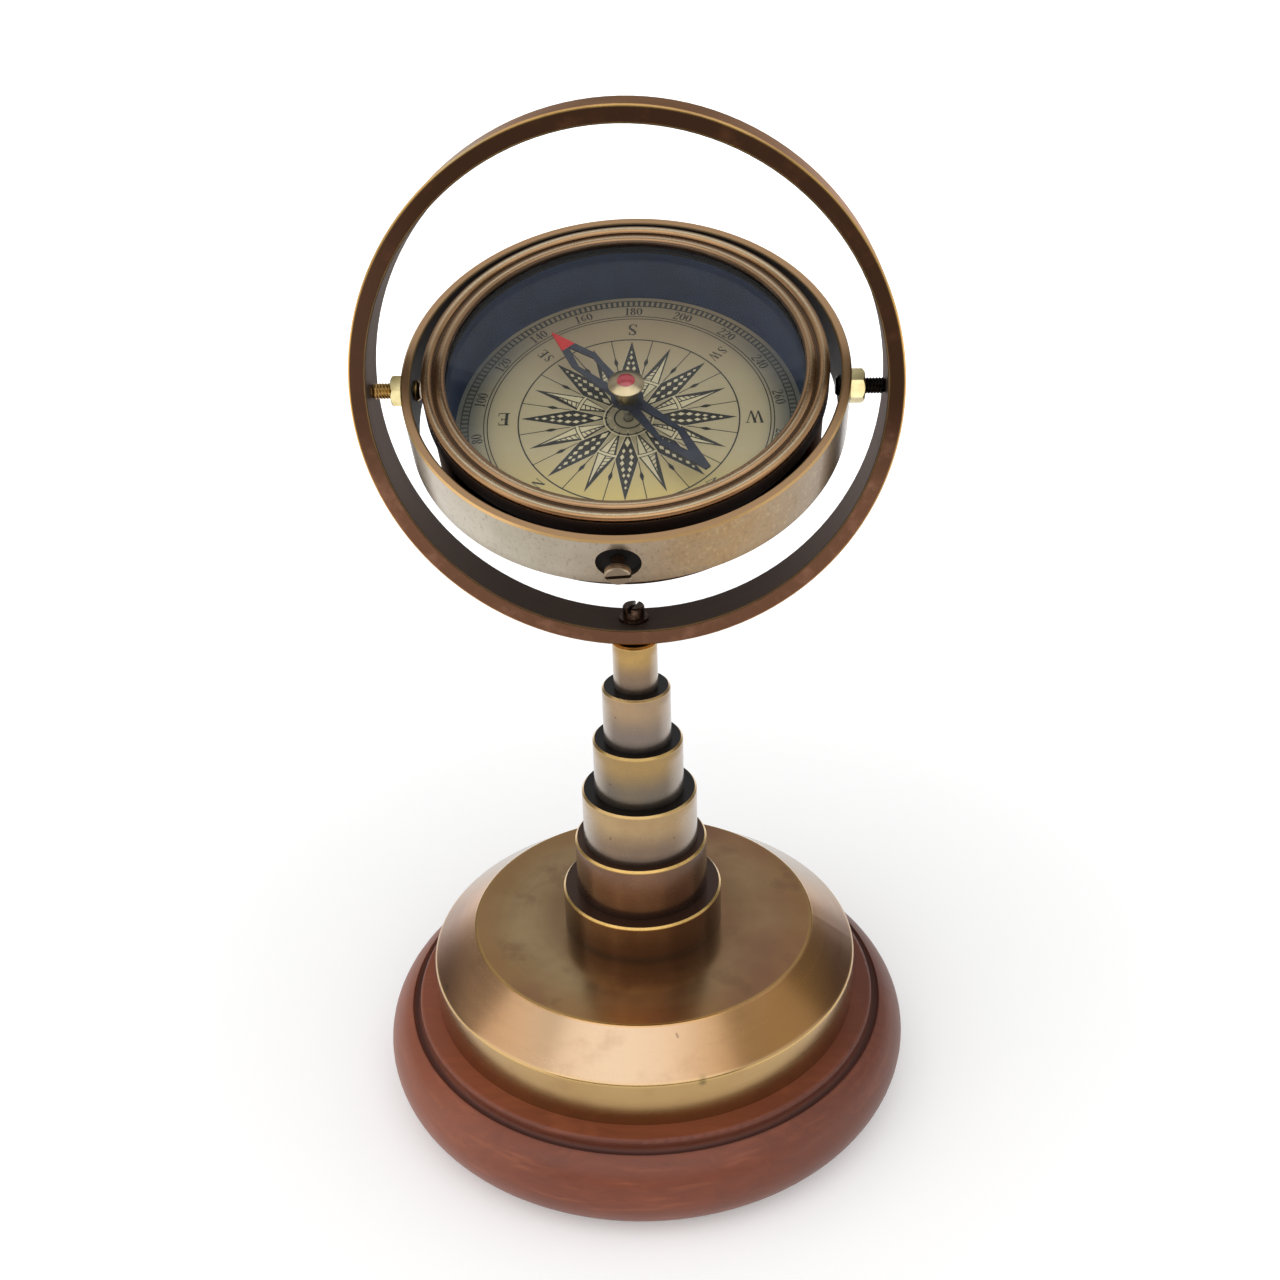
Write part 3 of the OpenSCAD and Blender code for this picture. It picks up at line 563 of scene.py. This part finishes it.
def card_finish():
    """Champagne foil with painted light and shade: yellower on the near side, browner and darker on the far
    side, bluish shade at its border, a painted shadow round the middle.
    """
    finish = Finish("champagne_card", metallic=0.25)
    x, y, z, r = finish.axes("bowl")
    cloud = finish.noise(finish.vector(x, y, z), 0.06, 3.0)
    fibre = finish.noise(finish.vector(x, y, z), 3.0, 3.0)
    # Painted shade, bluish, at the card's border
    border = r.rise(24, 31) * y.rise(-20, -2) * (1 - y.rise(14, 27) * 0.85)
    # Painted reflection and shade: yellower on the near side, browner and darker on the far side
    colour = finish.mix(y.rise(-32, -2), srgb(240, 214, 120), srgb(190, 178, 142))
    colour = finish.mix(y.rise(4, 26) * 0.9, colour, srgb(178, 158, 124))
    colour = finish.mix(cloud.rise(0.35, 0.75) * 0.3, colour, srgb(190, 180, 150))
    colour = finish.mix(border * 0.75, colour, srgb(78, 92, 100))
    # Painted shadow round the middle
    colour = finish.mix(r.rise(13, 3) * cloud.rise(0.2, 0.5) * 0.3, colour, srgb(92, 88, 76))
    finish.set(base_color=colour, roughness=fibre * 0.1 + 0.36)
    return finish


def needle_finish():
    """Blued needle with one red end."""
    finish = Finish("needle_paint", metallic=0.3)
    x, y, z, r = finish.axes("bowl")
    heading = math.radians(NEEDLE_HEADING)
    along = y * math.cos(heading) - x * math.sin(heading)
    red = along.rise(NEEDLE_RED - 0.15, NEEDLE_RED + 0.15)
    grain = finish.noise(finish.vector(x, y, z), 1.5, 3.0)
    blue = finish.mix(grain, srgb(38, 43, 54), srgb(62, 68, 80))
    finish.set(base_color=finish.mix(red, blue, srgb(206, 44, 44)), roughness=grain * 0.15 + 0.3,
               normal=finish.bump(grain, 0.05))
    return finish


def glass_finish():
    """A mirror that fades to clear where it is faced, so that the dial shows and the glass still reflects."""
    finish = Finish("clear_glass", metallic=1.0, base_color=WHITE, roughness=0.02)
    facing = finish.node("ShaderNodeLayerWeight", {}, {"Blend": 0.5}, output="Facing")
    finish.set(alpha=facing ** 5 * 0.9 + 0.02)
    return finish


card_finish().dress("dial_plate")
needle_finish().dress("needle")
glass_finish().dress("glass")


# Making meshes


def piece(name, axes, points, faces, body, slot, instead_of, finishes, finish_numbers=None):
    """A mesh from millimetre points in the given axes, riding on a body in place of a CAD node."""
    mesh = bpy.data.meshes.new(name)
    mesh.from_pydata([axes @ Vector(p) for p in points], [], faces)
    for finish in finishes:
        mesh.materials.append(finish.material)
    if finish_numbers:
        mesh.polygons.foreach_set("material_index", finish_numbers)
    mesh.update()
    made = bpy.data.objects.new(name, mesh)
    bpy.context.scene.collection.objects.link(made)
    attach(made, body)
    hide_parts(instead_of)


# Axle screws

# Sizes in millimetres: head, thread, and the plain journal that runs in the outer ring's hole
HEAD_R, HEAD_T, HEAD_CHAMFER = 1.9, 0.8, 0.5
SCREW_R, THREAD_PITCH, THREAD_DEPTH, THREAD_END = 1.5, 0.55, 0.1, 0.3
JOURNAL_R, JOURNAL_LENGTH, JOURNAL_CHAMFER = 1.2, 3.6, 0.2
# Small radius that closes an end without folding its faces
CLOSED_R = 0.01
# Stations in one pitch of the thread, and faces round the screw
PITCH_STEPS = 8
AROUND = 40


def axle_screw(name, side, slot, finish):
    """Lathe skin of low head, helical thread and plain journal, its axis along the bowl's right or left."""
    low, high = span(name, "bowl")
    inner, outer = (low[0], high[0]) if side > 0 else (-high[0], -low[0])
    seat, shoulder = inner + HEAD_T, outer - JOURNAL_LENGTH
    middle_r = SCREW_R - THREAD_DEPTH
    length = shoulder - THREAD_END - seat
    steps = round(length / THREAD_PITCH * PITCH_STEPS)
    # Each station: distance along the axis, radius, and how far the thread goes up and down from it
    stations = [(inner, CLOSED_R, 0), (inner, HEAD_R - HEAD_CHAMFER, 0), (inner + HEAD_CHAMFER, HEAD_R, 0),
                (seat, HEAD_R, 0), (seat, middle_r, 0)]
    stations += [(seat + length * i / steps, middle_r, THREAD_DEPTH) for i in range(steps + 1)]
    stations += [(shoulder, JOURNAL_R, 0), (outer - JOURNAL_CHAMFER, JOURNAL_R, 0),
                 (outer, JOURNAL_R - JOURNAL_CHAMFER, 0), (outer, CLOSED_R, 0)]
    points, faces = [], []
    for along, radius, depth in stations:
        for k in range(AROUND):
            turn = k / AROUND
            phase = (along / THREAD_PITCH + turn) % 1
            r = radius + depth * (1 - 4 * abs(phase - 0.5))
            angle = 2 * math.pi * turn
            points.append((side * along, r * math.cos(angle), side * r * math.sin(angle)))
    for i in range(len(stations) - 1):
        for k in range(AROUND):
            n = (k + 1) % AROUND
            this, following = i * AROUND, (i + 1) * AROUND
            faces.append((this + k, this + n, following + n, following + k))
    piece(name + "_thread", BOWL, points, faces, "gimbal", slot, name, [finish])


axle_screw("axle_screw_left", -1, "screw_brass",
           aged_brass("thread_brass", "bowl", srgb(226, 188, 116), srgb(158, 116, 64), 0.3, blotch=0.3))
# The right screw's thread is nearly black as a painted shade; the left one is bare brass
axle_screw("axle_screw_right", 1, "dark_screw",
           plain("thread_black", srgb(40, 36, 34), srgb(22, 20, 19), 0.36, 1.2, metal=1.0, kind="bowl"))


# Letters and digits of the card

# For each: its width, and its pen strokes through points of x, y and pen width, on a height of 1
LETTERS = {
    "N": (0.78, [[(0.12, 0, 0.06), (0.12, 1, 0.06)], [(0.1, 0.97, 0.17), (0.66, 0.03, 0.17)],
                 [(0.66, 0, 0.06), (0.66, 1, 0.06)], [(0, 0.97, 0.05), (0.2, 0.97, 0.05)],
                 [(0.02, 0.03, 0.05), (0.23, 0.03, 0.05)], [(0.55, 0.97, 0.05), (0.77, 0.97, 0.05)]]),
    "E": (0.7, [[(0.2, 0, 0.18), (0.2, 1, 0.18)], [(0.04, 0.96, 0.07), (0.6, 0.96, 0.07)],
                [(0.58, 0.98, 0.06), (0.6, 0.76, 0.04)], [(0.2, 0.52, 0.06), (0.46, 0.52, 0.06)],
                [(0.46, 0.64, 0.05), (0.46, 0.4, 0.05)], [(0.04, 0.04, 0.07), (0.62, 0.04, 0.07)],
                [(0.62, 0.02, 0.06), (0.66, 0.27, 0.04)]]),
    "S": (0.56, [[(0.45, 0.74, 0.04), (0.4, 0.9, 0.06), (0.27, 0.96, 0.07), (0.13, 0.87, 0.11),
                  (0.12, 0.7, 0.14), (0.28, 0.53, 0.17), (0.44, 0.37, 0.15), (0.44, 0.16, 0.12),
                  (0.28, 0.04, 0.07), (0.12, 0.09, 0.06), (0.07, 0.27, 0.04)],
                 [(0.46, 0.98, 0.05), (0.46, 0.7, 0.04)], [(0.06, 0.02, 0.05), (0.06, 0.3, 0.04)]]),
    "W": (1.0, [[(0.1, 0.97, 0.16), (0.31, 0.02, 0.1)], [(0.31, 0.02, 0.06), (0.49, 0.85, 0.05)],
                [(0.47, 0.97, 0.16), (0.69, 0.02, 0.1)], [(0.69, 0.02, 0.06), (0.9, 0.97, 0.05)],
                [(0, 0.97, 0.05), (0.24, 0.97, 0.05)], [(0.36, 0.97, 0.05), (0.6, 0.97, 0.05)],
                [(0.78, 0.97, 0.05), (1.0, 0.97, 0.05)]]),
    "0": (0.6, []),
    "1": (0.56, [[(0.3, 0.03, 0.15), (0.3, 0.97, 0.15)], [(0.3, 0.95, 0.06), (0.12, 0.84, 0.05)],
                 [(0.1, 0.03, 0.06), (0.5, 0.03, 0.06)]]),
    "2": (0.58, [[(0.08, 0.7, 0.1), (0.13, 0.88, 0.08), (0.28, 0.95, 0.07), (0.43, 0.86, 0.13),
                  (0.44, 0.69, 0.15), (0.33, 0.46, 0.1), (0.08, 0.1, 0.06)],
                 [(0.05, 0.06, 0.12), (0.48, 0.06, 0.12), (0.53, 0.2, 0.04)]]),
    "3": (0.58, [[(0.08, 0.8, 0.08), (0.2, 0.94, 0.07), (0.38, 0.87, 0.12), (0.4, 0.72, 0.14),
                  (0.3, 0.57, 0.08), (0.18, 0.54, 0.05), (0.36, 0.5, 0.1), (0.46, 0.3, 0.16),
                  (0.36, 0.09, 0.1), (0.2, 0.04, 0.07), (0.07, 0.14, 0.1)]]),
    "4": (0.6, [[(0.4, 0.03, 0.14), (0.4, 0.97, 0.14)], [(0.4, 0.95, 0.05), (0.06, 0.3, 0.05)],
                [(0.04, 0.28, 0.08), (0.56, 0.28, 0.08)]]),
    "6": (0.58, [[(0.47, 0.94, 0.05), (0.27, 0.83, 0.08), (0.14, 0.56, 0.14), (0.13, 0.28, 0.15),
                  (0.28, 0.05, 0.07), (0.45, 0.28, 0.14), (0.29, 0.54, 0.07), (0.14, 0.42, 0.05)]]),
    "8": (0.58, []),
}
# The round strokes of the signs that are made of rings: middle, and radius across and upward
ROUNDS = {"0": [(0.29, 0.5, 0.2, 0.44)], "8": [(0.28, 0.74, 0.14, 0.2), (0.28, 0.27, 0.18, 0.23)]}
ROUND_STEPS = 14
for sign, loops in ROUNDS.items():
    turns = [2 * math.pi * i / ROUND_STEPS for i in range(ROUND_STEPS + 1)]
    for cx, cy, rx, ry in loops:
        LETTERS[sign][1].append([(cx + rx * math.cos(t), cy + ry * math.sin(t), 0.06 + 0.1 * math.cos(t) ** 2)
                                 for t in turns])


# Compass card

# Inks of the print, by their place in the list of its finishes
INK, PALE, FAINT = range(3)
# Heights of its layers over the card, in millimetres, so that each lies clear of the one under it
LINES, SHADED, FACETS, HATCHING, BAND, BAND_EDGE = 0.0, 0.01, 0.015, 0.018, 0.021, 0.022
LIGHT_STAR, DARK_STAR, STUDS, HUB = 0.025, 0.03, 0.04, 0.045

# Widths of its lines, in millimetres
HEAVY, LINE, THIN = 0.28, 0.2, 0.18
# Sizes of the drawing, in millimetres: the rose, the band round its middle, and the degree ring
ROSE_R = 20.45
BAND_R, BAND_HALF = 9.7, 0.35
NUMBER_LINES = (26.2, 26.85)
TICK_IN, TICK_OUT, TICK_HALF = 29.75, 31.15, 0.24
NUMBER_R, NUMBER_HEIGHT = 28.25, 2.1
LETTER_R, LETTER_HEIGHT, SMALL_LETTER_HEIGHT = 23.2, 3.1, 2.1
# Studs along each ornate point: distance out, half the space between a pair or 0 for one alone, and size
STUD_ROWS = ((17.0, 0, 0.7), (15.6, 0, 1), (14.1, 0.42, 0.9), (12.7, 0.6, 1.1), (11.2, 0.82, 1.2),
             (9.7, 0.86, 1.2), (8.2, 0.62, 1))
# How much larger the card is printed than drawn, and how far the ink lies above the plate
CARD_SCALE = 1.012
CARD_LIFT = 0.02


def around(bearing, r):
    """The point at a bearing and a distance from the card's middle."""
    t = math.radians(bearing)
    return r * math.sin(t), r * math.cos(t)


def outward(bearing, points):
    """Points given as across and outward, with or without a pen width, carried to a bearing."""
    t = math.radians(bearing)
    return [(a * math.cos(t) + r * math.sin(t), r * math.cos(t) - a * math.sin(t), *rest)
            for a, r, *rest in points]


class Print:
    """Flat ink shapes on the card. Card axes: x toward E and y toward N, in millimetres."""

    def __init__(self):
        self.points, self.faces, self.inks = [], [], []

    def shape(self, points, ink=INK, lift=LINES):
        first = len(self.points)
        self.points += [(-x, -y, lift) for x, y in points]
        self.faces.append(tuple(range(first, first + len(points))))
        self.inks.append(ink)

    def stroke(self, pen, ink=INK, lift=LINES):
        """A pen stroke through points of x, y and width."""
        sides = []
        for i, (x, y, wide) in enumerate(pen):
            before, after = pen[max(i - 1, 0)], pen[min(i + 1, len(pen) - 1)]
            along = Vector((after[0] - before[0], after[1] - before[1])).normalized()
            sides.append(((x - along.y * wide / 2, y + along.x * wide / 2),
                          (x + along.y * wide / 2, y - along.x * wide / 2)))
        for (a, b), (c, d) in zip(sides, sides[1:]):
            self.shape([b, d, c, a], ink, lift)

    def circle(self, r, wide, ink=INK, lift=LINES, steps=240):
        self.stroke([(*around(360 * i / steps, r), wide) for i in range(steps + 1)], ink, lift)

    def kite(self, bearing, tip, wide_at, half, root, ink=INK, lift=LINES):
        """A four-cornered point, from its tip over its widest place to its root."""
        self.shape(outward(bearing, [(0, tip), (half, wide_at), (0, root), (-half, wide_at)]), ink, lift)

    def word(self, text, middle, height, turn, narrow=1.0, gap=0.0):
        """Text centred on a point, turned counter-clockwise in degrees."""
        size = sum(LETTERS[c][0] + gap for c in text) - gap
        pen_x = -size / 2
        t = math.radians(turn)
        for c in text:
            for pen in LETTERS[c][1]:
                placed = []
                for x, y, wide in pen:
                    u, v = (pen_x + x) * height * narrow, (y - 0.5) * height
                    placed.append((middle[0] + u * math.cos(t) - v * math.sin(t),
                                   middle[1] + u * math.sin(t) + v * math.cos(t), wide * height))
                self.stroke(placed)
            pen_x += LETTERS[c][0] + gap


def ring_lines(card):
    """Circles round the rose, the numbers and the ticks, and the pale band round the middle."""
    card.circle(ROSE_R, HEAVY)
    for r in (*NUMBER_LINES, TICK_IN, TICK_OUT):
        card.circle(r, LINE)
    card.circle(BAND_R, 2 * BAND_HALF, PALE, BAND, steps=90)
    for r in (BAND_R - BAND_HALF, BAND_R + BAND_HALF):
        card.circle(r, THIN, INK, BAND_EDGE, steps=90)


def arrow(card, bearing):
    """A thin line from the band to the rose's edge, with a small arrowhead on it."""
    card.stroke(outward(bearing, [(0, BAND_R + 0.1, THIN), (0, ROSE_R, THIN)]))
    card.kite(bearing, ROSE_R * 0.78, ROSE_R * 0.71, 0.4, ROSE_R * 0.64)


def shaded_point(card, bearing):
    """A dark point with a pale facet on each side of its ridge, one of them hatched."""
    card.kite(bearing, ROSE_R * 0.95, 9.6, 1.75, 3.6, INK, SHADED)
    card.shape(outward(bearing, [(0.1, ROSE_R * 0.84), (1.5, BAND_R), (0.1, 4.2)]), PALE, FACETS)
    card.shape(outward(bearing, [(-0.16, ROSE_R * 0.7), (-1.35, BAND_R), (-0.16, 5.2)]), PALE, FACETS)
    for i in range(9):
        r = 5.6 + i * 0.95
        half = 1.35 * (1 - abs(r - BAND_R) / 6.5)
        card.stroke(outward(bearing, [(-0.1, r + 0.3, LINE), (-half, r - 0.1, LINE)]), INK, HATCHING)


def ornate_point(card, bearing):
    """A dark point with a pale edge and pale studs along it."""
    card.kite(bearing, ROSE_R * 0.985, 10.3, 2.25, 3.0, PALE, LIGHT_STAR)
    card.kite(bearing, ROSE_R * 0.98, 10.3, 2.1, 3.4, INK, DARK_STAR)
    for r, half, big in STUD_ROWS:
        for side in ((-1, 1) if half else (0,)):
            turned = bearing + math.degrees(side * half / r)
            card.kite(turned, r + 0.6 * big, r, 0.34 * big, r - 0.55 * big, PALE, STUDS)
    card.kite(bearing, 7.3, 6.2, 0.5, 5.0, PALE, STUDS)


def hub_rings(card):
    """Three thin rings round the pivot, the outermost one pale."""
    for r, wide, ink in ((4.6, 0.25, PALE), (4.2, 0.25, INK), (2.6, 0.3, INK)):
        card.circle(r, wide, ink, HUB, steps=60)


def degree_ring(card):
    """A tick each 2 degrees, in fainter ink, and a number each 20 degrees, its top outward."""
    for b in range(0, 360, 2):
        card.shape(outward(b, [(-TICK_HALF, TICK_IN), (-TICK_HALF, TICK_OUT),
                               (TICK_HALF, TICK_OUT), (TICK_HALF, TICK_IN)]), FAINT)
    for b in range(0, 360, 20):
        card.word(str(b), around(b, NUMBER_R), NUMBER_HEIGHT, -b)


def directions(card):
    """Upright letters for the main directions, smaller slanting ones between them."""
    for sign, b in (("N", 0), ("E", 90), ("S", 180), ("W", 270)):
        card.word(sign, around(b, LETTER_R), LETTER_HEIGHT, 0, 1.1)
    for sign, b, turn in (("NE", 45, 45), ("SE", 135, -45), ("SW", 225, 45), ("NW", 315, -45)):
        card.word(sign, around(b, LETTER_R), SMALL_LETTER_HEIGHT, turn, 1.05, 0.15)


def compass_card():
    """Rose of eight ornate points, eight shaded points and sixteen thin arrows inside a degree ring."""
    card = Print()
    ring_lines(card)
    for k in range(16):
        arrow(card, 11.25 + 22.5 * k)
    for k in range(8):
        shaded_point(card, 22.5 + 45 * k)
    for k in range(8):
        ornate_point(card, 45 * k)
    hub_rings(card)
    degree_ring(card)
    directions(card)
    return card


card = compass_card()
card_z = top("dial_plate", "bowl") + CARD_LIFT
card_axes = BOWL @ Matrix.Translation((0, 0, card_z)) @ Matrix.Scale(CARD_SCALE, 4)
ink = plain("card_ink", srgb(40, 40, 38), srgb(58, 58, 54), 0.5, 1.5, kind="bowl", strength=0.0)
pale = plain("card_highlight", srgb(206, 196, 158), srgb(214, 204, 166), 0.45, 1.5, kind="bowl", strength=0.0)
faint = plain("card_faint_ink", srgb(62, 64, 58), srgb(78, 80, 72), 0.5, 1.5, kind="bowl", strength=0.0)
piece("card_print", card_axes, card.points, card.faces, "compass", "card_print", "compass_rose",
      [ink, pale, faint], card.inks)


# Studio

# The photograph's camera, fitted to the rims and pivots: degrees, and millimetres from the stand's axis.
# Its focal length is in pixels of the photograph.
CAMERA = dict(azimuth=4.528, reach=266.35, height=239.27, yaw=1.06, pitch=26.937, roll=-1.74, focal=1508.7,
              aside=-3.85)
PHOTO_WIDTH = 1280
SENSOR_WIDTH = 36

# What the lamps aim at, and half the floor's side, in metres
LIT_POINT = Vector((0, 0, 0.1))
FLOOR_REACH = 30.0


def photo_camera(azimuth, reach, height, yaw, pitch, roll, focal, aside):
    """Camera that stands reach in front of the stand and aside of it, turned about it by azimuth."""
    azimuth, yaw, pitch, roll = (math.radians(v) for v in (azimuth, yaw, pitch, roll))
    place = Vector((aside * math.cos(azimuth) + reach * math.sin(azimuth),
                    aside * math.sin(azimuth) - reach * math.cos(azimuth), height)) * MM
    heading = yaw - azimuth
    ahead = Vector((math.sin(heading) * math.cos(pitch), math.cos(heading) * math.cos(pitch),
                    -math.sin(pitch)))
    right = Vector((math.cos(heading), -math.sin(heading), 0))
    up = right.cross(ahead)
    right, up = right * math.cos(roll) + up * math.sin(roll), up * math.cos(roll) - right * math.sin(roll)
    lens = bpy.data.cameras.new("photo_camera")
    lens.sensor_fit = "HORIZONTAL"
    lens.sensor_width = SENSOR_WIDTH
    lens.lens = focal * SENSOR_WIDTH / PHOTO_WIDTH
    lens.clip_start = 0.01
    camera = bpy.data.objects.new("photo_camera", lens)
    camera.matrix_world = Matrix.Translation(place) @ Matrix((right, up, -ahead)).transposed().to_4x4()
    bpy.context.scene.collection.objects.link(camera)
    bpy.context.scene.camera = camera


def soft_light(name, place, size, watts):
    """A rectangular lamp aimed at the stand, its place and size in metres and its power in watts."""
    lamp = bpy.data.lights.new(name, "AREA")
    lamp.shape = "RECTANGLE"
    lamp.size, lamp.size_y = size
    lamp.energy = watts
    made = bpy.data.objects.new(name, lamp)
    aim = (LIT_POINT - Vector(place)).to_track_quat("-Z", "Y")
    made.matrix_world = Matrix.Translation(place) @ aim.to_matrix().to_4x4()
    bpy.context.scene.collection.objects.link(made)


class Room(Finish):
    """The world's nodes, made as a finish is."""

    def __init__(self):
        world = bpy.data.worlds.new("studio")
        world.use_nodes = True
        self.tree = world.node_tree
        bpy.context.scene.world = world

    def light(self):
        """White for the camera; metal and glass see white at the horizon, dim above it, paler overhead."""
        direction = self.node("ShaderNodeTexCoord", {}, {}, output="Generated")
        height = self.node("ShaderNodeSeparateXYZ", {}, {0: direction}, output="Z")
        camera, glossy, through = self.rays()
        dim, grey = (0.22, 0.22, 0.225), (0.6, 0.6, 0.6)
        overhead = self.mix(height.rise(0.3, 0.95), dim, grey)
        mirrored = self.mix(height.rise(0.2, 0.02), overhead, WHITE)
        colour = self.mix(glossy + through, grey, mirrored)
        self.join(self.tree.nodes["Background"].inputs["Color"], self.mix(camera, colour, WHITE))


def floor():
    """A pale floor that keeps the stand's shadow, and glows white farther out."""
    corners = [(x * FLOOR_REACH, y * FLOOR_REACH, 0) for x, y in ((-1, -1), (1, -1), (1, 1), (-1, 1))]
    mesh = bpy.data.meshes.new("floor")
    mesh.from_pydata(corners, [], [(0, 1, 2, 3)])
    made = bpy.data.objects.new("floor", mesh)
    bpy.context.scene.collection.objects.link(made)
    white = Finish("white_floor", base_color=(0.86, 0.86, 0.86), roughness=0.7, emission_strength=1.0)
    x, y, z, r = white.axes()
    camera, glossy, through = white.rays()
    glow = (camera + glossy + through) * (r.rise(60, 600) * 0.8 + 0.2)
    white.set(emission_color=white.mix(glow, (0, 0, 0), WHITE))
    white.dress(made)


photo_camera(**CAMERA)
Room().light()
floor()
soft_light("key", (0.0, -0.9, 1.3), (2.0, 1.6), 10.5)
soft_light("left_fill", (-1.1, -0.5, 0.6), (1.2, 1.2), 4.5)
soft_light("right_fill", (1.1, -0.3, 0.5), (1.2, 1.2), 2.5)
bpy.context.scene.view_settings.view_transform = "Standard"
